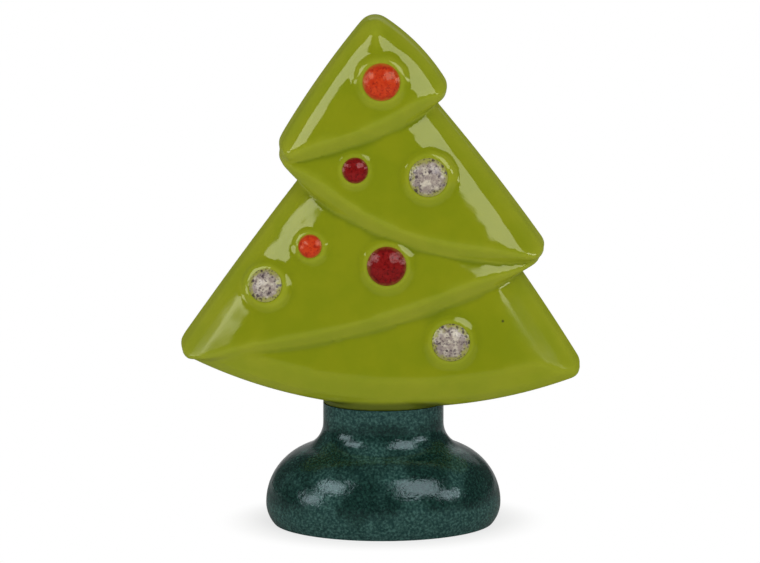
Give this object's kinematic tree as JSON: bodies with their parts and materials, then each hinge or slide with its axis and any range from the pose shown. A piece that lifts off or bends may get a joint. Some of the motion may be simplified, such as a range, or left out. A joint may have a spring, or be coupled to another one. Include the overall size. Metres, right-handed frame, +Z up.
{
  "type": "ceramic christmas tree",
  "caption": "Glazed ceramic tabletop tree: lapped green tiers folded left and right, set with round glass-like ornaments, on a dark oval pedestal with a short neck.",
  "frame": {"origin": "centre of the foot on the ground, which is also the bottom centre of the bounding box to within a millimetre", "axes": "+Z up; +X to the right as seen from the front; the front, with the ornaments, looks towards -Y"},
  "size_m": [0.1174, 0.0496, 0.1513],
  "materials": {
    "green_glaze": "gloss",
    "collar_glaze": "gloss",
    "teal_glaze": "gloss",
    "orange_glaze": "gloss",
    "red_glaze": "gloss",
    "white_glaze": "gloss"
  },
  "bodies": {
    "root": {"tier_top": "green_glaze", "tier_upper": "green_glaze", "tier_lower": "green_glaze", "tier_skirt": "green_glaze", "neck_collar": "collar_glaze", "pedestal": "teal_glaze", "ornament_orange_top": "orange_glaze", "ornament_orange_small": "orange_glaze", "ornament_red_small": "red_glaze", "ornament_red_large": "red_glaze", "ornament_white_upper": "white_glaze", "ornament_white_left": "white_glaze", "ornament_white_skirt": "white_glaze"}
  },
  "joints": []
}
